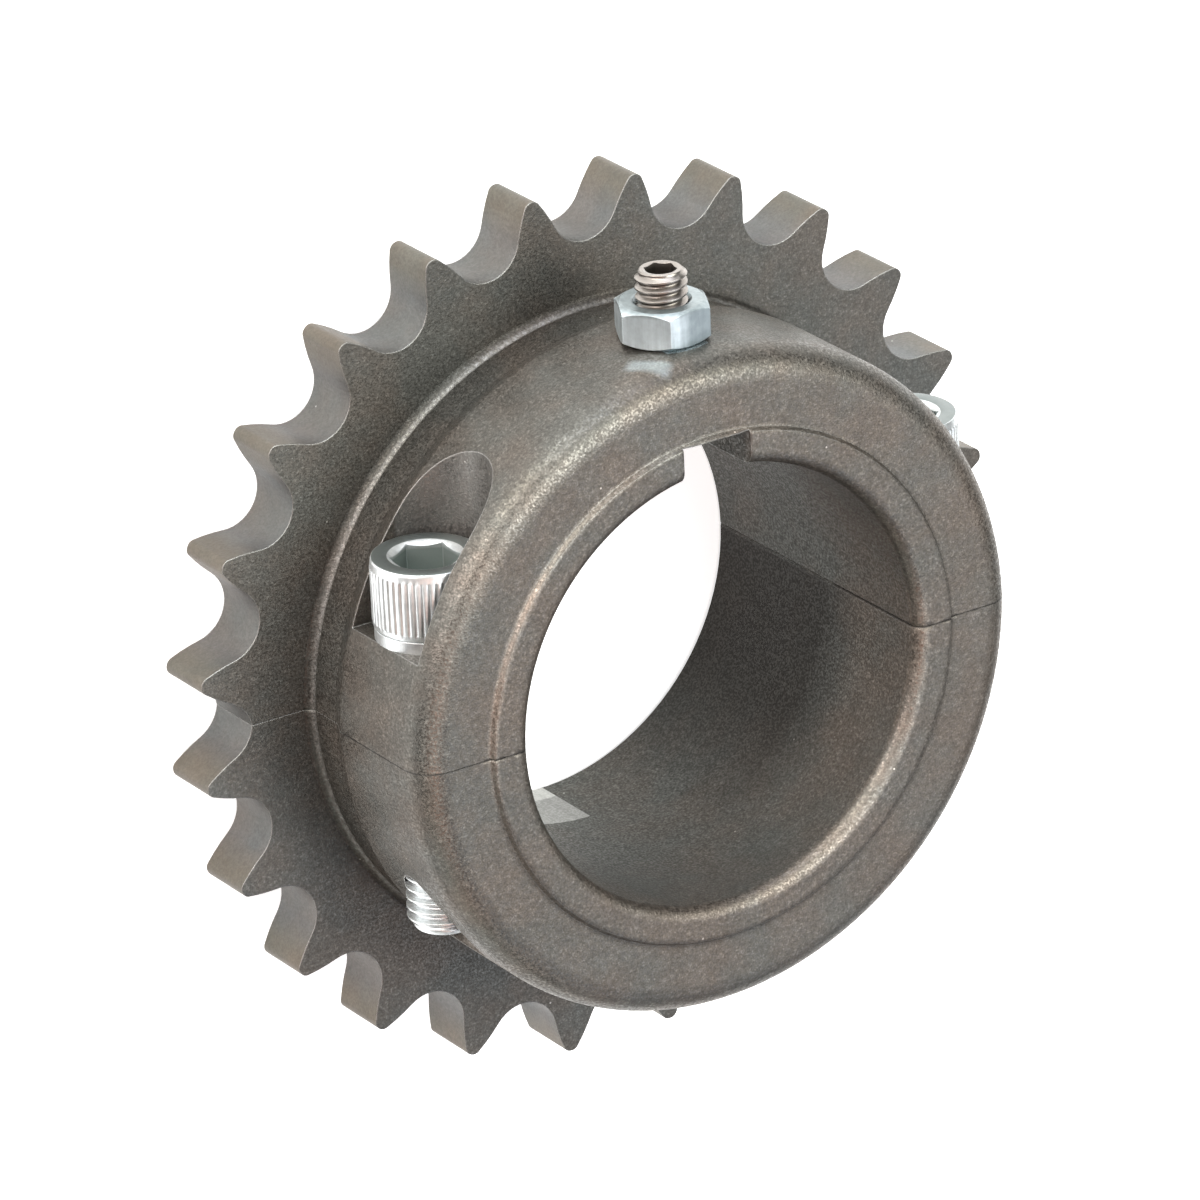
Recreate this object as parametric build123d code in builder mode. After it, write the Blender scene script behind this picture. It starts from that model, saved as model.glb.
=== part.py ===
from build123d import *

import os
from math import pi, sin, sqrt, tan, radians

# A split, double-hub chain sprocket. Its two halves close on a shaft and are drawn together by
# two socket head cap screws on lock washers. A set screw, held by a jam nut, bears on the key.
# The origin is on the shaft axis at the back of the hub, +Z runs along the shaft to the front
# of the hub, +Y points to the keyway, and the halves meet on the plane y = 0.
# All sizes are in millimetres.

# Chain and teeth
chain_pitch = 19.05
tooth_count = 24
seat_radius = 6.25  # the curve in which a chain roller beds
seat_half_angle = 64  # degrees each side of the bottom of a gap
flank_radius = 29.0  # the bulge of a tooth's side
flank_sweep = 18  # degrees, enough to run out past the tips
tip_height = 3.23  # outside the pitch circle
tip_corner_radius = 1.4
plate_back = 10.8  # from the back of the hub to the back of the tooth plate
plate_thickness = 10.7
plate_root = 1.2  # the bevel between the front of the plate and the hub

# Hub
bore_radius = 37.3
hub_wall = 19.85
hub_length = 57.15
hub_relief = 1.4  # how much smaller in radius the hub is either side of the tooth plate
back_chamfer = 1.5
neck_length = 7.7  # the relieved part in front of the tooth plate
shoulder_length = 3.1  # the slope from there up to the clamping part
shoulder_radius = 2.0
front_corner_radius = 5.2
lip_width = 6.6  # raised rim round the mouth of the bore
lip_height = 0.8
lip_flank = 0.6  # how far the side of the rim leans out
bore_front_radius = 2.2
bore_back_chamfer = 0.8

# The halves are sawn apart after turning, so each was turned about a centre past the joint.
saw_cut = 1.8
joint_edge_break = 0.3  # along the bore

# Keyway, in the upper half
keyway_width = 12.7
keyway_depth = 5.5

# Clamp screws: M12 socket head cap screws, parallel to Y
clamp_wall = 2.45  # between the bore and a screw
clamp_setback = 14.75  # from the front of the hub
clamp_screw_diameter = 12.0
clamp_screw_length = 52.2
clamp_point_chamfer = 1.2
clamp_head_diameter = 18.0
clamp_head_height = 11.55
clamp_head_chamfer = 0.4
clamp_socket_width = 10.0  # across flats
clamp_socket_depth = 6.5
clamp_hole_clearance = 0.5  # round the plain screw in the upper half
pocket_floor = 17.3  # above the joint
pocket_clearance = 0.5  # round a screw's head
pocket_shift = 1.85  # the pocket's round end lies this much nearer the shaft than the screw
washer_thickness = 2.0
washer_outer_diameter = 17.4
washer_clearance = 0.25  # round the screw
washer_gap = 0.9
washer_gap_lean = 25  # degrees

# Set screw and jam nut, parallel to Y
set_screw_diameter = 8.5
set_screw_length = 22.2
set_screw_setback = 14.25  # from the front of the hub
set_screw_reach = 11.45  # how far it stands out of the hub
set_screw_chamfer = 0.9
set_socket_width = 4.76  # across flats
set_socket_depth = 5.2
nut_width = 14.1  # across flats
nut_thickness = 6.3
nut_turn = 5.3  # degrees about the set screw
nut_face_diameter = 13.3  # where its ends are turned down to
nut_chamfer = 30  # degrees
nut_countersink = 0.5  # how far the threaded hole's mouths open out
spot_face_clearance = 0.95  # round the nut's bearing face
spot_face_depth = 0.12  # below the crown of the hub

# Threads are left plain: hole and screw are both at the major diameter, this far apart.
thread_clearance = 0.04

# Derived sizes
pitch_radius = chain_pitch / 2 / sin(pi / tooth_count)
root_radius = pitch_radius - seat_radius
tip_radius = pitch_radius + tip_height
plate_front = plate_back + plate_thickness
neck_end = plate_front + neck_length
shoulder_end = neck_end + shoulder_length
hub_radius = bore_radius + hub_wall
neck_radius = hub_radius - hub_relief
lip_radius = bore_radius + lip_width
face_height = hub_length - lip_height
half_cut = saw_cut / 2
web_radius = (root_radius + hub_radius) / 2
core_radius = bore_radius / 2
keyway_roof = bore_radius + keyway_depth
clamp_screw_radius = clamp_screw_diameter / 2
clamp_x = bore_radius + clamp_wall + clamp_screw_radius
clamp_height = hub_length - clamp_setback
pocket_x = clamp_x - pocket_shift
pocket_radius = clamp_head_diameter / 2 + pocket_clearance
clamp_head_seat = pocket_floor + washer_thickness
set_screw_radius = set_screw_diameter / 2
set_screw_height = hub_length - set_screw_setback
nut_corner = nut_width / sqrt(3)
nut_face_radius = nut_face_diameter / 2
nut_bevel = (nut_corner - nut_face_radius) * tan(radians(nut_chamfer))
nut_seat = hub_radius - half_cut - spot_face_depth
set_screw_top = nut_seat + set_screw_reach
set_screw_point = set_screw_top - set_screw_length


def facing_up(x, y, z):
    """A plane square to Y through the given point, looking along +Y."""
    return Plane(origin=(x, y, z), x_dir=(1, 0, 0), z_dir=(0, 1, 0))


# One gap between two teeth, with +X pointing out along the gap's centre line
with BuildSketch() as tooth_gap:
    with BuildLine():
        seat = CenterArc((0, 0), seat_radius, 180 - seat_half_angle, seat_half_angle)
        flank = JernArc(seat @ 0, (seat % 0) * -1, flank_radius, flank_sweep)
        Line(flank @ 1, ((flank @ 1).X, 0))
        mirror(about=Plane.XZ)
    make_face()

with BuildSketch() as tooth_outline:
    Circle(tip_radius)
    with PolarLocations(pitch_radius, tooth_count):
        add(tooth_gap.sketch, mode=Mode.SUBTRACT)
    tip_corners = tooth_outline.vertices().filter_by(
        lambda corner: abs(corner.center().length - tip_radius) < 0.01
    )
    fillet(tip_corners, tip_corner_radius)


def turned_blank(centre_y):
    """The whole wheel, turned and toothed about (0, centre_y) and bored about the shaft axis."""
    with BuildPart() as blank:
        with BuildSketch(Plane(origin=(0, centre_y, 0), x_dir=(1, 0, 0), z_dir=(0, -1, 0))):
            with BuildLine():
                corners = {
                    (core_radius, 0): None,
                    (neck_radius - back_chamfer, 0): 0,
                    (neck_radius, back_chamfer): 0,
                    (neck_radius, plate_back): 0,
                    (web_radius, plate_back): 0,
                    (web_radius, plate_front): 0,
                    (neck_radius + plate_root, plate_front): 0,
                    (neck_radius, plate_front + plate_root): 0,
                    (neck_radius, neck_end): shoulder_radius,
                    (hub_radius, shoulder_end): shoulder_radius,
                    (hub_radius, face_height): front_corner_radius,
                    (lip_radius + lip_flank, face_height): 0,
                    (lip_radius, hub_length): 0,
                    (core_radius, hub_length): None,
                }
                radii = [radius for radius in corners.values() if radius is not None]
                outline = FilletPolyline(*corners, radius=radii)
                Line(outline @ 1, outline @ 0)
            make_face()
        revolve(axis=Axis((0, centre_y, 0), (0, 0, 1)))
        with BuildSketch(Plane(origin=(0, centre_y, plate_back))):
            add(tooth_outline.sketch)
        extrude(amount=plate_thickness)
        with BuildSketch():
            Circle(bore_radius)
        extrude(amount=hub_length, mode=Mode.SUBTRACT)
        mouths = blank.edges().filter_by(GeomType.CIRCLE).filter_by(
            lambda edge: abs(edge.radius - bore_radius) < 0.01
        )
        fillet(mouths.sort_by(Axis.Z)[-1], bore_front_radius)
        chamfer(mouths.sort_by(Axis.Z)[0], bore_back_chamfer)
        with BuildSketch():
            with GridLocations(2 * bore_radius, 0, 2, 1):
                RegularPolygon(joint_edge_break, 4)
        extrude(amount=hub_length, mode=Mode.SUBTRACT)
    return blank.part


upper_blank = turned_blank(-half_cut)
lower_blank = turned_blank(half_cut)

# Upper half: keyway, set screw hole, and a pocket each side for a clamp screw's head
with BuildPart() as upper_half:
    add(upper_blank)
    split(bisect_by=facing_up(0, 0, 0), keep=Keep.TOP)
    with BuildSketch():
        with Locations((0, keyway_roof / 2)):
            Rectangle(keyway_width, keyway_roof)
    extrude(amount=hub_length, mode=Mode.SUBTRACT)
    for side in (-1, 1):
        with BuildSketch(facing_up(0, pocket_floor, clamp_height)):
            with Locations((side * pocket_x, 0)):
                Circle(pocket_radius)
            with Locations((side * (pocket_x + hub_radius / 2), 0)):
                Rectangle(hub_radius, 2 * pocket_radius)
        extrude(amount=hub_radius, mode=Mode.SUBTRACT)
    with BuildSketch(facing_up(0, 0, clamp_height)):
        with GridLocations(2 * clamp_x, 0, 2, 1):
            Circle(clamp_screw_radius + clamp_hole_clearance)
    extrude(amount=pocket_floor, mode=Mode.SUBTRACT)
    with BuildSketch(facing_up(0, nut_seat, set_screw_height)):
        Circle(nut_width / 2 + spot_face_clearance)
    extrude(amount=hub_radius, mode=Mode.SUBTRACT)
    with BuildSketch(facing_up(0, keyway_roof / 2, set_screw_height)):
        Circle(set_screw_radius + thread_clearance)
    extrude(amount=hub_radius, mode=Mode.SUBTRACT)

# Lower half: the clamp screws thread into it and come out through its side
with BuildPart() as lower_half:
    add(lower_blank)
    split(bisect_by=facing_up(0, 0, 0), keep=Keep.BOTTOM)
    with BuildSketch(facing_up(0, 0, clamp_height)):
        with GridLocations(2 * clamp_x, 0, 2, 1):
            Circle(clamp_screw_radius + thread_clearance)
    extrude(amount=-hub_radius, mode=Mode.SUBTRACT)

halves = {"upper_half": upper_half, "lower_half": lower_half}

# Clamp screws, each turned about its own axis with a hexagonal socket in its head
clamp_screws = {}
clamp_washers = {}
for name, x in (("left", -clamp_x), ("right", clamp_x)):
    head_top = clamp_head_seat + clamp_head_height
    tip = clamp_head_seat - clamp_screw_length
    with BuildPart() as clamp_screw:
        with BuildSketch(Plane(origin=(x, 0, clamp_height))):
            with BuildLine():
                Polyline(
                    (0, tip),
                    (clamp_screw_radius - clamp_point_chamfer, tip),
                    (clamp_screw_radius, tip + clamp_point_chamfer),
                    (clamp_screw_radius, clamp_head_seat),
                    (clamp_head_diameter / 2, clamp_head_seat),
                    (clamp_head_diameter / 2, head_top - clamp_head_chamfer),
                    (clamp_head_diameter / 2 - clamp_head_chamfer, head_top),
                    (0, head_top),
                    close=True,
                )
            make_face()
        revolve(axis=Axis((x, 0, clamp_height), (0, 1, 0)))
        with BuildSketch(facing_up(x, head_top - clamp_socket_depth, clamp_height)):
            RegularPolygon(clamp_socket_width / 2, 6, major_radius=False)
        extrude(amount=clamp_socket_depth, mode=Mode.SUBTRACT)
    clamp_screws[f"clamp_screw_{name}"] = clamp_screw

    # A ring of spring steel, cut through at a slant
    with BuildPart() as clamp_washer:
        with BuildSketch(facing_up(x, pocket_floor, clamp_height)):
            Circle(washer_outer_diameter / 2)
            Circle(clamp_screw_radius + washer_clearance, mode=Mode.SUBTRACT)
        extrude(amount=washer_thickness)
        lean = washer_thickness * tan(radians(washer_gap_lean))
        with BuildSketch(Plane(origin=(x, pocket_floor, clamp_height))):
            with BuildLine():
                Polyline(
                    (-washer_gap / 2 - lean / 2, 0),
                    (washer_gap / 2 - lean / 2, 0),
                    (washer_gap / 2 + lean / 2, washer_thickness),
                    (-washer_gap / 2 + lean / 2, washer_thickness),
                    close=True,
                )
            make_face()
        extrude(amount=washer_outer_diameter, mode=Mode.SUBTRACT)
    clamp_washers[f"lock_washer_{name}"] = clamp_washer

# Set screw, backed off into its hole above the keyway
with BuildPart() as set_screw:
    with BuildSketch(Plane(origin=(0, 0, set_screw_height))):
        with BuildLine():
            Polyline(
                (0, set_screw_point),
                (set_screw_radius - set_screw_chamfer, set_screw_point),
                (set_screw_radius, set_screw_point + set_screw_chamfer),
                (set_screw_radius, set_screw_top - set_screw_chamfer),
                (set_screw_radius - set_screw_chamfer, set_screw_top),
                (0, set_screw_top),
                close=True,
            )
        make_face()
    revolve(axis=Axis((0, 0, set_screw_height), (0, 1, 0)))
    with BuildSketch(facing_up(0, set_screw_top - set_socket_depth, set_screw_height)):
        RegularPolygon(set_socket_width / 2, 6, major_radius=False)
    extrude(amount=set_socket_depth, mode=Mode.SUBTRACT)

# Jam nut, with both its ends turned down to 30 degrees
with BuildPart() as jam_nut:
    with BuildSketch(facing_up(0, nut_seat, set_screw_height)):
        RegularPolygon(nut_width / 2, 6, major_radius=False, rotation=nut_turn)
    extrude(amount=nut_thickness)
    with BuildSketch(Plane(origin=(0, nut_seat, set_screw_height))):
        with BuildLine():
            Polyline(
                (0, 0),
                (nut_face_radius, 0),
                (nut_corner, nut_bevel),
                (nut_corner, nut_thickness - nut_bevel),
                (nut_face_radius, nut_thickness),
                (0, nut_thickness),
                close=True,
            )
        make_face()
    revolve(axis=Axis((0, 0, set_screw_height), (0, 1, 0)), mode=Mode.INTERSECT)
    with BuildSketch(facing_up(0, nut_seat, set_screw_height)):
        Circle(set_screw_radius + thread_clearance)
    extrude(amount=nut_thickness, mode=Mode.SUBTRACT)
    nut_mouths = jam_nut.edges().filter_by(GeomType.CIRCLE).filter_by(
        lambda edge: abs(edge.radius - set_screw_radius - thread_clearance) < 0.01
    )
    chamfer(nut_mouths, nut_countersink)

os.makedirs("parts", exist_ok=True)
pieces = {**halves, **clamp_screws, **clamp_washers, "set_screw": set_screw, "jam_nut": jam_nut}
for name, piece in pieces.items():
    piece.part.label = name
    export_step(piece.part, f"parts/{name}.step")
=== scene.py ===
import bpy
import bmesh
from functools import reduce
from math import ceil, cos, hypot, pi, sin, tau
from mathutils import Matrix, Vector
from operator import mul


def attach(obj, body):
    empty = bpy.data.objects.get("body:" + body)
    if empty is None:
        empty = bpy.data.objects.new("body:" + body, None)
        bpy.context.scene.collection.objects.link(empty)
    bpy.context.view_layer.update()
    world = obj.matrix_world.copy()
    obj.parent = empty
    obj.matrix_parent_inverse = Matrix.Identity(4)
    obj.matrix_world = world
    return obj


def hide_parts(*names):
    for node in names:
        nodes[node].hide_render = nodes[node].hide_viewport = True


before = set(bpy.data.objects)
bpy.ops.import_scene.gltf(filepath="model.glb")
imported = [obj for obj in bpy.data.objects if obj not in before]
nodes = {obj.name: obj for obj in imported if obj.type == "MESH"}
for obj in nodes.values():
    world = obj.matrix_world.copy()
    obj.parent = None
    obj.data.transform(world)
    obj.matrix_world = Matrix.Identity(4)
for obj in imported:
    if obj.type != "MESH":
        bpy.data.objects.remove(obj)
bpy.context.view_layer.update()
scene = bpy.context.scene
mm = 0.001
print("frame loaded with", len(nodes), "nodes")


# Studio

studio = {
    "cameraPlace": (-0.77163, 0.61932, 1.22264),
    "cameraRight": (0.831, -0.0411, 0.5547),
    "cameraUp": (0.2515, 0.9173, -0.3088),
    "lens": 288.46,
    "sensor": 36.0,
    "viewDepth": 20.0,
    "lampSize": 1.0,
    "lampAim": (0, 0, 0.03),
}

# place in metres, power in watts and colour; every lamp points at the hub
lamps = {
    "keySoftbox": ((0.5, 0.5, 1.32), 19.5, (1.00, 1.00, 0.90)),
    "overheadPanel": ((0.13, 0.23, 1.48), 9.1, (0.89, 0.95, 1.00)),
    "rightPanel": ((0.7, 0.0, 1.32), 4.8, (0.77, 0.84, 1.00)),
    "frontRight": ((1.0, -0.57, 0.96), 1.8, (1.00, 0.85, 0.73)),
    "windowSide": ((0.0, 1.43, 0.44), 13.1, (0.91, 0.92, 1.00)),
    "backEdge": ((-0.72, 1.24, 0.44), 12.9, (1.00, 1.00, 0.88)),
    "leftEdge": ((-1.24, 0.72, 0.44), 16.5, (1.00, 0.88, 0.85)),
    "leftFill": ((-0.61, -0.35, 1.32), 4.2, (1.00, 0.64, 0.53)),
    "lowLeft": ((-0.72, -1.24, 0.44), 2.7, (0.97, 1.00, 0.92)),
    "frontPanel": ((0.57, -1.0, 0.96), 4.4, (0.79, 0.87, 1.00)),
}


def addCamera():
    right = Vector(studio["cameraRight"]).normalized()
    up = Vector(studio["cameraUp"]).normalized()
    turn = Matrix((right, up, right.cross(up))).transposed().to_4x4()
    data = bpy.data.cameras.new("camera")
    data.lens = studio["lens"]
    data.sensor_width = studio["sensor"]
    data.clip_end = studio["viewDepth"]
    holder = bpy.data.objects.new("camera", data)
    holder.matrix_world = Matrix.Translation(studio["cameraPlace"]) @ turn
    scene.collection.objects.link(holder)
    scene.camera = holder


def addLamp(name, place, power, colour):
    data = bpy.data.lights.new(name, "AREA")
    data.shape = "SQUARE"
    data.size = studio["lampSize"]
    data.energy = power
    data.color = colour
    aim = (Vector(studio["lampAim"]) - Vector(place)).to_track_quat("-Z", "Y")
    holder = bpy.data.objects.new(name, data)
    holder.matrix_world = Matrix.Translation(place) @ aim.to_matrix().to_4x4()
    scene.collection.objects.link(holder)


# the lamps and the floor's glow are the only light
def addDarkWorld():
    world = bpy.data.worlds.new("darkWorld")
    world.use_nodes = True
    world.node_tree.nodes["Background"].inputs["Strength"].default_value = 0.0
    scene.world = world


# Shader maths: a value wraps an output socket, so that an expression adds its own nodes
class Value:
    def __init__(self, finish, socket):
        self.finish = finish
        self.socket = socket

    def maths(self, operation, *others):
        inputs = dict(enumerate((self, *others)))
        return self.finish.node("ShaderNodeMath", {"operation": operation}, inputs)

    def __add__(self, other):
        return self.maths("ADD", other)

    def __sub__(self, other):
        return self.maths("SUBTRACT", other)

    def __rsub__(self, other):
        return (self * -1.0) + other

    def __mul__(self, other):
        return self.maths("MULTIPLY", other)

    def __pow__(self, other):
        return self.maths("POWER", other)

    def __abs__(self):
        return self.maths("ABSOLUTE")

    # 0 at the first level and before it, 1 at the second and past it; the first may be the higher one
    def ramp(self, zero, full):
        inputs = {"Value": self, "From Min": zero, "From Max": full}
        return self.finish.node("ShaderNodeMapRange", {"clamp": True}, inputs)

    __radd__ = __add__
    __rmul__ = __mul__


def fromCentre(across, along):
    return (across * across + along * along) ** 0.5


# The product of a zone's ramps. Each names a field and its two levels; with three numbers, the levels are
# distances from the first one.
def cover(fields, zone):
    ramps = []
    for name, *centre, zero, full in zone:
        value = abs(fields[name] - centre[0]) if centre else fields[name]
        ramps.append(value.ramp(zero, full))
    return reduce(mul, ramps)


# the start and, by name, each value times its share
def weigh(start, shares, values):
    total = start
    for name, share in shares.items():
        total = values[name] * share + total
    return total


# A material and the nodes in it
class Finish:
    def __init__(self, name):
        self.material = bpy.data.materials.new(name)
        self.material.use_nodes = True
        self.tree = self.material.node_tree
        self.tree.nodes.clear()
        self.place = self.node("ShaderNodeTexCoord", output="Object")
        self.facing = self.node("ShaderNodeNewGeometry", output="Normal")

    def node(self, kind, settings=None, inputs=None, output=0):
        made = self.tree.nodes.new(kind)
        for key, value in (settings or {}).items():
            setattr(made, key, value)
        for key, value in (inputs or {}).items():
            if isinstance(value, Value):
                self.tree.links.new(value.socket, made.inputs[key])
            else:
                made.inputs[key].default_value = value
        return Value(self, made.outputs[output]) if made.outputs else None

    def axes(self, vector):
        split = self.node("ShaderNodeSeparateXYZ", None, {0: vector})
        return [Value(self, output) for output in split.socket.node.outputs]

    # the object's own coordinates, in millimetres
    def millimetres(self):
        return [axis * (1.0 / mm) for axis in self.axes(self.place)]

    def noise(self, scale, detail=2.0, roughness=0.5, stretch=None):
        place = self.place
        if stretch:
            place = self.node("ShaderNodeMapping", None, {"Vector": place, "Scale": stretch})
        inputs = {"Vector": place, "Scale": scale, "Detail": detail, "Roughness": roughness}
        return self.node("ShaderNodeTexNoise", None, inputs)

    # small round marks, one in each cell; the size is in millimetres
    def specks(self, scale, size):
        inputs = {"Vector": self.place, "Scale": scale}
        far = self.node("ShaderNodeTexVoronoi", None, inputs, "Distance")
        return far.ramp(size * mm * scale, size * mm * scale / 2)

    # a colour mix has its factor and colours at 0, 6 and 7, and its result at 2
    def mix(self, factor, first, second):
        inputs = {0: factor, 6: first, 7: second}
        return self.node("ShaderNodeMix", {"data_type": "RGBA"}, inputs, 2)

    def times(self, colour, level):
        settings = {"data_type": "RGBA", "blend_type": "MULTIPLY"}
        return self.node("ShaderNodeMix", settings, {0: 1.0, 6: colour, 7: level}, 2)

    # normals rounded over corners; radii and depths are in millimetres
    def rounded(self, radius):
        return self.node("ShaderNodeBevel", {"samples": 6}, {"Radius": radius * mm})

    # 0 on open surfaces, rising to 1 along edges
    def edges(self, radius, gain):
        inputs = {0: self.rounded(radius), 1: self.facing}
        agree = self.node("ShaderNodeVectorMath", {"operation": "DOT_PRODUCT"}, inputs, "Value")
        return agree.ramp(1.0, 1.0 - 1.0 / gain)

    def bump(self, height, strength, distance, radius):
        inputs = {"Height": height, "Strength": strength, "Distance": distance * mm, "Normal": self.rounded(radius)}
        return self.node("ShaderNodeBump", None, inputs)

    def surface(self, inputs):
        shader = self.node("ShaderNodeBsdfPrincipled", None, inputs)
        self.node("ShaderNodeOutputMaterial", None, {"Surface": shader})
        return self.material


# Sintered steel of the two halves: dark and grainy, rubbed bright along the edges

# Places and sizes are in millimetres. Reach is measured from the centre that each half is turned about.
upright = ("lean", 0.3, 0.15)
boreWall = (upright, ("fromAxis", 37.5, 37.4))
plateRoot = (("reach", 56.35, 1.0, 0.7), ("z", 22.1, 1.0, 0.7))
raisedRim = (("reach", 43.9, 2.2, 1.4), ("z", 55.85, 55.95))
sinter = {
    "dark": (0.082, 0.079, 0.073, 1.0),
    "light": (0.134, 0.129, 0.120, 1.0),
    "glint": (0.42, 0.41, 0.39, 1.0),
    "brownTone": (1.11, 0.985, 0.90, 1.0),
    "greenTone": (0.95, 0.995, 0.985, 1.0),
    "edgeColour": (0.42, 0.42, 0.41, 1.0),
    "gapTone": (1.08, 1.10, 1.14, 1.0),
    # painted shade: the tone of the tooth gaps on one side
    "shadedTone": (0.52, 0.54, 0.59, 1.0),
    # the flanks' tone: partly their own bluish tint, partly painted light
    "flankTintAndLight": (1.17, 1.22, 1.32, 1.0),
    "tipTone": (1.09, 1.04, 0.96, 1.0),
    "lightPatchColour": (0.37, 0.37, 0.355, 1.0),
    "jointColour": (0.02, 0.019, 0.018, 1.0),
    "boreShadeColour": (0.030, 0.027, 0.024, 1.0),
    "bareColour": (0.31, 0.36, 0.375, 1.0),
    "metallic": 0.85,
    "bumpStrength": 0.6,
    "bumpDepth": 0.12,
    "wornReach": 0.35,
    "wornGain": 2.6,
    "turnedPast": 0.9,
    "nutHeight": 42.9,
    "pocketPlace": 43.9,
    "pocketHeight": 42.4,
    "nutMarkPlace": (-8.3, 51.0),
    "nutMarkAlong": (0.618, 0.787),
    # scale, detail, roughness and stretch of each noise, and the levels between which it is used
    "noise": {
        "grain": (1500.0, 1.0, 0.6),
        "fineGrain": (3300.0, 0.0),
        "polish": (2600.0, 0.0),
        "mottle": (70.0, 3.0, 0.6),
        "cloud": (189.0, 2.0),
        "beads": (1400.0, 1.0),
        "brushed": (900.0, 3.0, 0.6, (1.0, 1.0, 0.05)),
    },
    "specks": (140.0, 0.22),
    "speckleLevels": (0.34, 0.66),
    "glintLevels": (0.60, 0.68),
    "levels": {"polish": (0.45, 0.6), "mottle": (0.36, 0.64), "cloud": (0.3, 0.7), "beads": (0.35, 0.65)},
    # how strongly each mark shows
    "marks": {
        "smoothTooth": 0.5,
        "glint": 0.12,
        "foot": 0.4,
        "paintedRootHighlight": 0.14,
        "beads": 0.26,
        "joint": 0.65,
        "paleNutMark": 0.45,
        "brushed": 0.5,
        "patchLow": 1.3,
        "patchShade": 0.5,
        "paintedBoreShade": 0.85,
        "pocket": 0.25,
    },
    # what each noise and zone adds
    "grain": {"grain": 0.6, "fineGrain": 0.4},
    "warmth": {"mottle": 0.7, "hub": 0.1, "face": 0.22, "brownBore": 0.6, "bore": -0.2},
    "leastLight": 0.88,
    # the clouds vary at random; the front face is lighter by painted light
    "lightness": {"cloud": 0.12, "face": 0.22},
    # painted light and painted highlights, each zone with its strength
    "paintedLights": {"paintedLightSide": 0.38, "paintedLightRounding": 0.6, "paintedHighlightRim": 0.8, "paintedHighlightMouth": 0.6},
    "lessWear": {"joint": 1.0, "root": 1.0, "rim": 0.3},
    "corner": 0.25,
    "softer": {"root": 0.65, "rim": 0.6, "lowerRim": 0.7, "mouth": 1.3},
    "relief": 0.75,
    "rougher": {"hub": 0.25, "bore": -0.4, "tooth": -0.45},
    "roughness": 0.60,
    "duller": {
        "bore": 0.1,
        "tooth": -0.1,
        "polish": -0.24,
        "toothPolish": 0.18,
        "worn": -0.1,
        "spotFace": -0.15,
        "paintedLightPatch": -0.09,
        "paleNutMark": -0.06,
    },
    "zones": {
        "bore": boreWall,
        "tooth": (upright, ("reach", 62.0, 62.5)),
        "shadedGaps": (("x", -10.0, 20.0),),
        "flanks": (("reach", 65.5, 69.5),),
        "tips": (("reach", 70.0, 74.0),),
        "face": (("z", 54.5, 56.3),),
        "hub": (("z", 21.6, 23.0),),
        "brownBore": (*boreWall, ("x", 15.0, 25.0), ("z", 33.0, 43.0)),
        # painted light: the left side of the plate is lighter
        "paintedLightSide": (("x", -38.0, -62.0), ("y", -40.0, -15.0), ("z", 31.0, 27.0)),
        # painted light on the left of the front rounding
        "paintedLightRounding": (("x", -6.0, -38.0), ("z", 53.6, 54.6), ("z", 56.25, 55.8), ("reach", 51.9, 52.6)),
        # painted highlight on the side of the raised rim, on the left
        "paintedHighlightRim": (("x", -20.0, -36.0), ("y", -12.0, 0.0), ("z", 56.2, 56.3), ("reach", 44.15, 1.0, 0.35)),
        # painted highlight at the bore's mouth, lower right
        "paintedHighlightMouth": (("x", 0.0, 25.0), ("y", 15.0, 0.0), ("z", 54.6, 55.6), ("fromAxis", 39.9, 39.0)),
        "root": plateRoot,
        # painted shade at the foot of the plate's root
        "foot": (*plateRoot, ("z", 22.5, 21.7)),
        "paintedRootHighlight": (("reach", 55.85, 0.65, 0.35), ("z", 22.55, 0.55, 0.1)),
        "rim": raisedRim,
        "lowerRim": (*raisedRim, ("y", 0.0, -15.0)),
        "mouth": (("reach", 40.7, 39.9), ("z", 53.5, 55.5)),
        "joint": (("y", 0.0, 0.22, 0.08), ("z", 32.6, 33.2)),
        "spotFace": (("y", 56.13, 0.02, 0.01), ("fromNut", 8.0, 7.95)),
        # a pale mark beside the nut
        "paleNutMark": (("alongNutMark", 0.0, 4.2, 2.8), ("acrossNutMark", 0.0, 2.1, 0.9), ("y", 50.0, 51.0)),
        # a painted patch of light in the bore, brighter near its back end
        "paintedLightPatch": (*boreWall, ("x", 0.0, -0.1), ("x", -17.0, -16.9), ("y", -19.0, -20.0), ("z", 15.2, 15.1)),
        "patchShade": (("z", 4.9, 5.1),),
        # painted shade deep in one side of the bore
        "paintedBoreShade": (*boreWall, ("x", 10.0, 30.0), ("y", 0.0, -0.5), ("z", 42.0, 30.0)),
        "pocket": (("fromPocket", 9.65, 9.55), ("y", 17.0, 18.0)),
    },
}


def halfFields(finish):
    x, y, z = finish.millimetres()
    (markX, markZ), (ahead, up) = sinter["nutMarkPlace"], sinter["nutMarkAlong"]
    return {
        "x": x,
        "y": y,
        "z": z,
        "lean": abs(finish.axes(finish.facing)[2]),
        "fromAxis": fromCentre(x, y),
        "reach": fromCentre(x, abs(y) + sinter["turnedPast"]),
        "fromNut": fromCentre(x, z - sinter["nutHeight"]),
        "fromPocket": fromCentre(abs(x) - sinter["pocketPlace"], z - sinter["pocketHeight"]),
        "alongNutMark": (x - markX) * ahead + (z - markZ) * up,
        "acrossNutMark": (x - markX) * up - (z - markZ) * ahead,
    }


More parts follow.
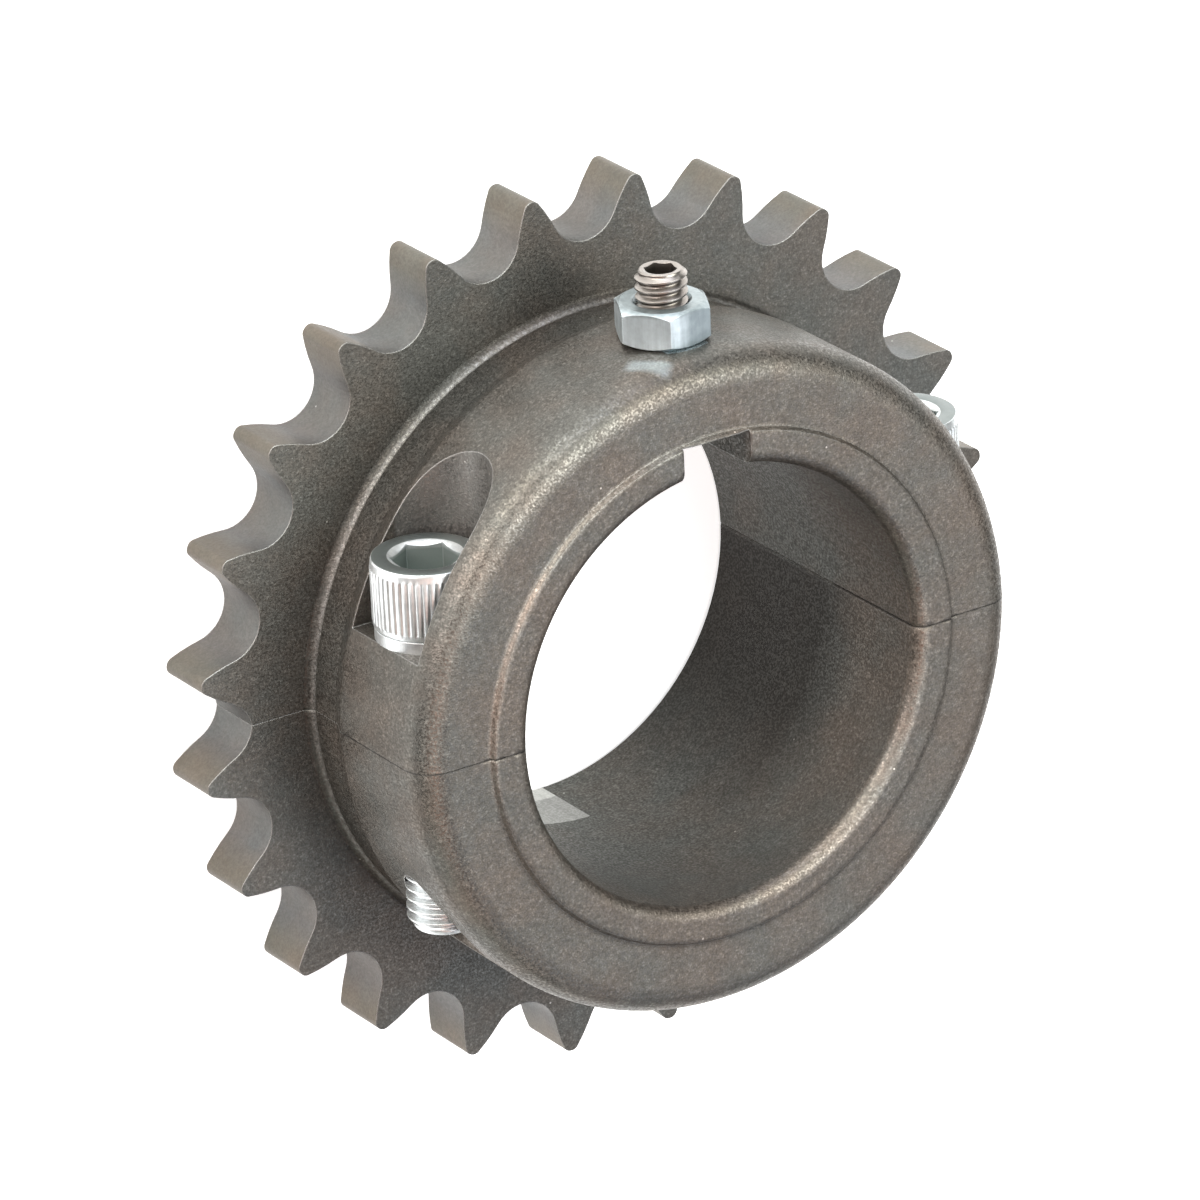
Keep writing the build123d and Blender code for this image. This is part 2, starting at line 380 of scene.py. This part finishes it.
def sinteredSteel():
    finish = Finish("sinteredSteel")
    fields = halfFields(finish)
    marks = sinter["marks"]
    noise = {name: finish.noise(*settings) for name, settings in sinter["noise"].items()}
    at = {name: cover(fields, zone) for name, zone in sinter["zones"].items()}
    at |= {name: noise[name].ramp(*levels) for name, levels in sinter["levels"].items()}
    at["toothPolish"] = at["tooth"] * at["polish"]
    at["paintedLightSide"] = at["paintedLightSide"] * (1.0 - at["tooth"])

    # the grain is weaker on the teeth, which are smoother than the rest
    grain = weigh(0.0, sinter["grain"], noise)
    speckle = grain.ramp(*sinter["speckleLevels"]) - 0.5
    speckle = speckle * (1.0 - at["tooth"] * marks["smoothTooth"]) + 0.5
    glint = grain.ramp(*sinter["glintLevels"]) * (1.0 - at["tooth"]) * marks["glint"]
    toned = finish.mix(speckle, sinter["dark"], sinter["light"])
    toned = finish.mix(glint, toned, sinter["glint"])
    toned = finish.mix(finish.specks(*sinter["specks"]), toned, sinter["glint"])

    # blotches from green to brown, clouds from dark to light, a front face lighter by painted light, the teeth's
    # tones, and painted light and highlights on the left of the plate, the rounding and the raised rim and at the
    # bore's mouth
    warmth = weigh(0.0, sinter["warmth"], at)
    toned = finish.times(toned, finish.mix(warmth, sinter["greenTone"], sinter["brownTone"]))
    toned = finish.times(toned, weigh(sinter["leastLight"], sinter["lightness"], at))
    # painted shade darkens the tooth gaps on one side; the flanks' lighter, bluer tone is partly their own tint and
    # partly painted light
    toothTone = finish.mix(at["shadedGaps"], sinter["gapTone"], sinter["shadedTone"])
    toothTone = finish.mix(at["flanks"], toothTone, sinter["flankTintAndLight"])
    toothTone = finish.mix(at["tips"], toothTone, sinter["tipTone"])
    toned = finish.mix(at["tooth"], toned, finish.times(toned, toothTone))
    toned = finish.times(toned, weigh(1.0, sinter["paintedLights"], at))

    # painted shade darkens the foot of the plate's root, and a painted highlight draws a bright beaded line at the
    # top of it
    toned = finish.times(toned, 1.0 - at["foot"] * marks["foot"])
    beads = at["beads"] * marks["beads"] + marks["paintedRootHighlight"]
    toned = finish.mix(at["paintedRootHighlight"] * beads, toned, sinter["edgeColour"])

    # edges are rubbed bright, but the joint is dark where the clamping part closes
    worn = finish.edges(sinter["wornReach"], sinter["wornGain"])
    for name, share in sinter["lessWear"].items():
        worn = worn * (1.0 - at[name] * share)
    at["worn"] = worn
    colour = finish.mix(worn, toned, sinter["edgeColour"])
    colour = finish.mix(at["joint"] * marks["joint"], colour, sinter["jointColour"])

    # bare metal on the spot face under the nut, a pale mark beside the nut in the same colour, and a painted patch
    # of light in the bore, brighter near the bore's back end
    brushed = noise["brushed"] * marks["brushed"] + (1.0 - marks["brushed"] / 2)
    bareMetal = finish.times(sinter["bareColour"], brushed)
    colour = finish.mix(at["spotFace"] + at["paleNutMark"] * marks["paleNutMark"], colour, bareMetal)
    paintedPatchColour = finish.times(sinter["lightPatchColour"], brushed)
    paintedPatchColour = finish.times(paintedPatchColour, marks["patchLow"] - at["patchShade"] * marks["patchShade"])
    colour = finish.mix(at["paintedLightPatch"], colour, paintedPatchColour)

    # painted shade darkens one side of the bore, deep down; the pockets are a little lighter
    colour = finish.mix(at["paintedBoreShade"] * marks["paintedBoreShade"], colour, sinter["boreShadeColour"])
    colour = finish.mix(at["pocket"] * marks["pocket"], colour, sinter["edgeColour"])

    # softer corners at the plate's root, round the raised rim and at the bore's mouth
    corner = weigh(sinter["corner"], sinter["softer"], at)
    relief = grain * weigh(sinter["relief"], sinter["rougher"], at)
    return finish.surface(
        {
            "Base Color": colour,
            "Metallic": sinter["metallic"],
            "Roughness": weigh(sinter["roughness"], sinter["duller"], at),
            "Normal": finish.bump(relief, sinter["bumpStrength"], sinter["bumpDepth"], corner),
        }
    )


# Bright zinc plate of the clamp screws, washers and nut; a painted dark reflection on the heads' faces, painted
# shade in the duller sockets, and painted light and shade on the nut

zinc = {
    "dull": (0.52, 0.55, 0.56, 1.0),
    "bright": (0.90, 0.94, 0.95, 1.0),
    "face": (0.14, 0.162, 0.158, 1.0),
    "socket": (0.27, 0.31, 0.295, 1.0),
    "nutLitTone": (0.93, 1.0, 1.03, 1.0),
    "nutShadedTone": (0.40, 0.45, 0.47, 1.0),
    "top": (0.36, 0.40, 0.41, 1.0),
    "metallic": 0.85,
    "corner": 0.2,
    "bumpStrength": 0.15,
    "bumpDepth": 0.02,
    "wornReach": 0.3,
    "wornGain": 2.0,
    "darkReflectionShare": 0.95,
    "noise": {
        "cloud": (420.0, 4.0, 0.6),
        "streak": (1500.0, 2.0, 0.5, (1.0, 0.06, 1.0)),
        "fine": (4000.0, 2.0),
    },
    "levels": {"cloud": (0.35, 0.65), "streak": (0.35, 0.65)},
    "brighter": {"cloud": 0.45, "streak": 0.3, "worn": 0.25},
    "roughness": 0.34,
    "duller": {"fine": 0.12, "cloud": -0.06, "socket": 0.2},
    "zones": {
        "nutShadedSide": (("x", -2.0, 1.0),),
        "nutTop": (("y", 61.5, 62.3),),
        "headDarkReflection": (("y", 30.80, 30.83), ("y", 30.9, 30.87), ("fromScrew", 6.1, 6.2)),
        "socket": (("y", 30.4, 29.6), ("y", 22.0, 22.1), ("fromScrew", 5.9, 5.7)),
    },
}


def zincPlate(name, onNut):
    finish = Finish(name)
    x, y, z = finish.millimetres()
    fromScrew = fromCentre(abs(x) - clampScrew["places"]["right"], z - clampScrew["height"])
    fields = {"x": x, "y": y, "fromScrew": fromScrew}
    at = {name: finish.noise(*settings) for name, settings in zinc["noise"].items()}
    at |= {name: at[name].ramp(*levels) for name, levels in zinc["levels"].items()}
    at |= {name: cover(fields, zone) for name, zone in zinc["zones"].items()}
    at["worn"] = finish.edges(zinc["wornReach"], zinc["wornGain"])
    colour = finish.mix(weigh(0.0, zinc["brighter"], at), zinc["dull"], zinc["bright"])
    if onNut:
        # painted light and shade: the nut is lighter on one side and darker on the other side and on top
        tone = finish.mix(at["nutShadedSide"], zinc["nutLitTone"], zinc["nutShadedTone"])
        tone = finish.mix(at["nutTop"], tone, zinc["top"])
        colour = finish.times(colour, tone)
    # painted dark reflection on the heads' faces
    colour = finish.mix(at["headDarkReflection"] * zinc["darkReflectionShare"], colour, zinc["face"])
    return finish.surface(
        {
            # painted shade darkens the sockets
            "Base Color": finish.mix(at["socket"], colour, zinc["socket"]),
            "Metallic": zinc["metallic"],
            "Roughness": weigh(zinc["roughness"], zinc["duller"], at),
            "Normal": finish.bump(at["fine"], zinc["bumpStrength"], zinc["bumpDepth"], zinc["corner"]),
        }
    )


# Warm-toned steel of the set screw, with painted highlights on the thread's crests and at the top; the thread's
# valleys stay darker as painted shade

warm = {
    "dull": (0.19, 0.172, 0.155, 1.0),
    "bright": (0.33, 0.308, 0.287, 1.0),
    "metallic": 1.0,
    "corner": 0.15,
    "bumpStrength": 0.1,
    "bumpDepth": 0.02,
    "noise": (5000.0, 1.0),
    "topDepths": (0.9, 0.5),
    "brighter": {"crest": 0.8, "top": 0.6},
    "roughness": 0.30,
    "duller": {"fine": 0.1},
}


def warmSteel():
    finish = Finish("warmSteel")
    x, y, z = finish.millimetres()
    thread = setScrew["thread"]
    reach = fromCentre(x, z - setScrew["height"])
    at = {
        "crest": reach.ramp(thread["crest"] - thread["depth"], thread["crest"]),
        "top": y.ramp(*(setScrew["top"] - depth for depth in warm["topDepths"])),
        "fine": finish.noise(*warm["noise"]),
    }
    return finish.surface(
        {
            # painted highlights on the crests and the top; the valleys stay dark as painted shade
            "Base Color": finish.mix(weigh(0.0, warm["brighter"], at), warm["dull"], warm["bright"]),
            "Metallic": warm["metallic"],
            "Roughness": weigh(warm["roughness"], warm["duller"], at),
            "Normal": finish.bump(at["fine"], warm["bumpStrength"], warm["bumpDepth"], warm["corner"]),
        }
    )


# Pale floor that glows a little, so that it stays white under the teeth

floor = {
    "size": 8.0,
    "drop": 0.05,
    "dull": (0.90, 0.90, 0.90, 1.0),
    "bright": (0.93, 0.93, 0.93, 1.0),
    "glowColour": (1.0, 1.0, 1.0, 1.0),
    "glow": 0.75,
    "roughness": 0.9,
    "noise": (900.0, 2.0),
}


def paper():
    finish = Finish("paper")
    return finish.surface(
        {
            "Base Color": finish.mix(finish.noise(*floor["noise"]), floor["dull"], floor["bright"]),
            "Roughness": floor["roughness"],
            "Emission Color": floor["glowColour"],
            "Emission Strength": floor["glow"],
        }
    )


def addFloor(material):
    made = bmesh.new()
    bmesh.ops.create_grid(made, x_segments=1, y_segments=1, size=floor["size"] / 2)
    bmesh.ops.translate(made, vec=(0.0, 0.0, -floor["drop"] * mm), verts=made.verts)
    addMesh("floor", made, material)


# Mesh helpers; shapes are drawn in millimetres about the Z axis and placed at the end

shaping = {
    "mergeThread": 0.002,
    "mergeAll": 0.0005,
    "onRing": 0.01,
    "sharpAngle": 0.7,
    "mouthSteps": 48,
    "coneSlope": 0.6,
    "pointDepth": 0.2,
    "pointWidth": 0.1,
}


def addMesh(name, made, material):
    mesh = bpy.data.meshes.new(name)
    made.to_mesh(mesh)
    made.free()
    piece = bpy.data.objects.new(name, mesh)
    piece.data.materials.append(material)
    scene.collection.objects.link(piece)
    return piece


# moves a ring of edges to a height and a radius
def setRing(edges, height, radius):
    for vert in {vert for edge in edges for vert in edge.verts}:
        scale = radius / hypot(vert.co.x, vert.co.y)
        vert.co = (vert.co.x * scale, vert.co.y * scale, height)


# draws an open ring of edges out to a new one
def growRing(made, edges, height, radius):
    grown = bmesh.ops.extrude_edge_only(made, edges=edges)["geom"]
    ring = [item for item in grown if isinstance(item, bmesh.types.BMEdge)]
    ring = [edge for edge in ring if edge.is_boundary]
    setRing(ring, height, radius)
    return ring


def newRing(made, segments, height, radius, turn=0.0):
    place = Matrix.Translation((0, 0, height)) @ Matrix.Rotation(turn, 4, "Z")
    verts = bmesh.ops.create_circle(made, segments=segments, radius=radius, matrix=place)["verts"]
    return list({edge for vert in verts for edge in vert.link_edges})


# the edges of a hole at a height
def openEdges(made, height):
    rims = [edge for edge in made.edges if edge.is_boundary]
    return [edge for edge in rims if all(abs(vert.co.z - height) <= shaping["onRing"] for vert in edge.verts)]


# depth and height along one pitch, from root to root
threadFlank = ((1.0, 0.0), (0.97, 0.09), (0.80, 0.18), (0.0, 0.42))
threadOutline = threadFlank + tuple((cut, 1.0 - rise) for cut, rise in reversed(threadFlank))


# a helical thread between two heights: one pitch of its outline, spun up the axis
def cutThread(made, low, high, thread):
    crest, depth, pitch, steps = thread["crest"], thread["depth"], thread["pitch"], thread["steps"]
    start = thread["crestAt"] - pitch * (1.5 + ceil((thread["crestAt"] - low) / pitch))
    verts = [made.verts.new((crest - depth * cut, 0, start + pitch * rise)) for cut, rise in threadOutline]
    edges = [made.edges.new(pair) for pair in zip(verts, verts[1:])]
    turns = ceil((high - start) / pitch) + 1
    bmesh.ops.spin(
        made,
        geom=verts + edges,
        cent=(0, 0, 0),
        axis=(0, 0, 1),
        dvec=(0, 0, pitch / steps),
        angle=tau * turns,
        steps=steps * turns,
        use_merge=False,
    )
    bmesh.ops.remove_doubles(made, verts=made.verts, dist=shaping["mergeThread"])
    for height, outer in ((low, False), (high, True)):
        bmesh.ops.bisect_plane(
            made,
            geom=made.verts[:] + made.edges[:] + made.faces[:],
            plane_co=(0, 0, height),
            plane_no=(0, 0, 1),
            clear_inner=not outer,
            clear_outer=outer,
        )


# crests near an end come in to a cone
def taperEnd(made, end, depth, crest, least):
    for vert in made.verts:
        limit = least + (crest - least) * min(1.0, abs(vert.co.z - end) / depth)
        reach = hypot(vert.co.x, vert.co.y)
        if reach > limit:
            vert.co.x *= limit / reach
            vert.co.y *= limit / reach


# a hexagonal socket with a coned mouth, let down from a ring of open edges
def sinkSocket(made, ring, top, socket):
    mouth = newRing(made, shaping["mouthSteps"], top, socket["mouth"], socket["turn"])
    bmesh.ops.bridge_loops(made, edges=ring + mouth)
    walls = growRing(made, mouth, top, socket["mouth"])
    for vert in {vert for edge in walls for vert in edge.verts}:
        turns = [socket["turn"] + step * pi / 3 for step in range(3)]
        across = max(abs(vert.co.x * cos(turn) + vert.co.y * sin(turn)) for turn in turns)
        reach = socket["mouth"] * min(1.0, socket["width"] / 2 / across)
        scale = reach / socket["mouth"]
        vert.co = (vert.co.x * scale, vert.co.y * scale, top - shaping["coneSlope"] * (socket["mouth"] - reach))
    bottom = drawIn(made, walls, top - socket["depth"], 1.0)
    point = top - socket["depth"] - socket["width"] * shaping["pointDepth"]
    point = drawIn(made, bottom, point, shaping["pointWidth"])
    bmesh.ops.holes_fill(made, edges=point, sides=0)


def drawIn(made, edges, height, scale):
    grown = bmesh.ops.extrude_edge_only(made, edges=edges)["geom"]
    for vert in (item for item in grown if isinstance(item, bmesh.types.BMVert)):
        vert.co = (vert.co.x * scale, vert.co.y * scale, height)
    return [item for item in grown if isinstance(item, bmesh.types.BMEdge) and item.is_boundary]


def finishMesh(name, made, material, place):
    bmesh.ops.remove_doubles(made, verts=made.verts, dist=shaping["mergeAll"])
    bmesh.ops.recalc_face_normals(made, faces=made.faces)
    turn = Matrix.Rotation(-pi / 2, 4, "X")
    matrix = Matrix.Translation(Vector(place) * mm) @ turn @ Matrix.Diagonal((mm, mm, mm, 1.0))
    bmesh.ops.transform(made, matrix=matrix, verts=made.verts)
    piece = addMesh(name, made, material)
    for face in piece.data.polygons:
        face.use_smooth = True
    piece.data.set_sharp_from_angle(angle=shaping["sharpAngle"])
    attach(piece, "root")
    return piece


# Clamp screws: socket head cap screws with straight knurled heads

clampScrew = {
    "places": {"left": -45.75, "right": 45.75},
    "seat": 19.3,
    "height": 42.4,
    "length": 52.2,
    "shank": 16.0,
    "thread": {"crest": 6.0, "depth": 1.07, "pitch": 1.75, "crestAt": -0.35, "steps": 48},
    "pointDepth": 1.9,
    "pointReach": 4.8,
    "headReach": 9.0,
    "headHeight": 11.55,
    "underHead": ((-15.5, -0.02), (-0.7, -0.02), (-0.2, 0.2), (0.0, 0.7)),
    "footIn": 0.5,
    "foot": ((0.25, 0.22), (0.5, 0.14), (1.1, 0.14)),
    "collar": 1.25,
    "band": 1.6,
    "crown": ((1.45, 0.1), (0.6, 0.16), (0.2, 0.24), (0.05, 0.34), (0.0, 0.5)),
    "grooves": 48,
    "grooveSteps": 6,
    "grooveDepth": 0.32,
    "socket": {"width": 10.0, "mouth": 6.15, "depth": 6.5, "turn": 0.0},
}


# narrow grooves pressed into a plain ring
def pressKnurl(ring):
    for vert in {vert for edge in ring for vert in edge.verts}:
        turn = Vector((0, 1)).angle_signed(vert.co.xy) / tau * clampScrew["grooves"]
        groove = abs(turn % 1.0 - 0.5) * 2
        scale = 1 - clampScrew["grooveDepth"] * groove**4 / clampScrew["headReach"]
        vert.co.x *= scale
        vert.co.y *= scale


def clampScrewMesh():
    s = clampScrew
    crest, reach, top = s["thread"]["crest"], s["headReach"], s["headHeight"]
    made = bmesh.new()
    cutThread(made, -s["length"], -s["shank"], s["thread"])
    taperEnd(made, -s["length"], s["pointDepth"], crest, s["pointReach"])
    bmesh.ops.holes_fill(made, edges=openEdges(made, -s["length"]), sides=0)
    ring = openEdges(made, -s["shank"])
    for height, past in s["underHead"]:
        ring = growRing(made, ring, height, crest + past)
    foot = newRing(made, s["grooves"] * s["grooveSteps"], 0.0, reach - s["footIn"])
    bmesh.ops.bridge_loops(made, edges=ring + foot)
    for height, inside in s["foot"]:
        foot = growRing(made, foot, height, reach - inside)
    knurl = foot
    for height in (s["collar"], top - s["band"]):
        knurl = growRing(made, knurl, height, reach)
        pressKnurl(knurl)
    for below, inside in s["crown"]:
        knurl = growRing(made, knurl, top - below, reach - inside)
    sinkSocket(made, knurl, top, s["socket"])
    return made


def addClampScrews(material):
    for side, x in clampScrew["places"].items():
        place = (x, clampScrew["seat"], clampScrew["height"])
        piece = finishMesh("cap_screw_" + side, clampScrewMesh(), material, place)
        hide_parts("clamp_screw_" + side)


# Set screw over the key

setScrew = {
    "top": 67.58,
    "height": 42.9,
    "length": 22.2,
    "thread": {"crest": 4.22, "depth": 0.78, "pitch": 1.5875, "crestAt": -0.544, "steps": 60},
    "point": 3.3,
    "face": 3.35,
    "chamfer": 0.8,
    "socket": {"width": 4.76, "mouth": 2.68, "depth": 5.2, "turn": -0.216},
}


def addSetScrew(material):
    s = setScrew
    made = bmesh.new()
    cutThread(made, -s["length"], 0.0, s["thread"])
    taperEnd(made, -s["length"], s["chamfer"], s["thread"]["crest"], s["point"])
    taperEnd(made, 0.0, s["chamfer"], s["thread"]["crest"], s["face"])
    bmesh.ops.holes_fill(made, edges=openEdges(made, -s["length"]), sides=0)
    sinkSocket(made, openEdges(made, 0.0), 0.0, s["socket"])
    piece = finishMesh("grub_screw", made, material, (0, s["top"], s["height"]))
    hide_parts("set_screw")


def dress(node, material):
    slots = nodes[node].material_slots
    if not slots:
        nodes[node].data.materials.append(material)
    for slot in slots:
        slot.material = material


addCamera()
addDarkWorld()
for name, values in lamps.items():
    addLamp(name, *values)
addFloor(paper())
scene.view_settings.view_transform = "Standard"
print("studio ready")

steel = sinteredSteel()
plate = zincPlate("zincPlate", False)
nutPlate = zincPlate("nutPlate", True)
for node in ("upper_half", "lower_half"):
    dress(node, steel)
for node in ("lock_washer_left", "lock_washer_right"):
    dress(node, plate)
dress("jam_nut", nutPlate)
print("halves, washers and nut finished")

addClampScrews(plate)
addSetScrew(warmSteel())
print("screws made")
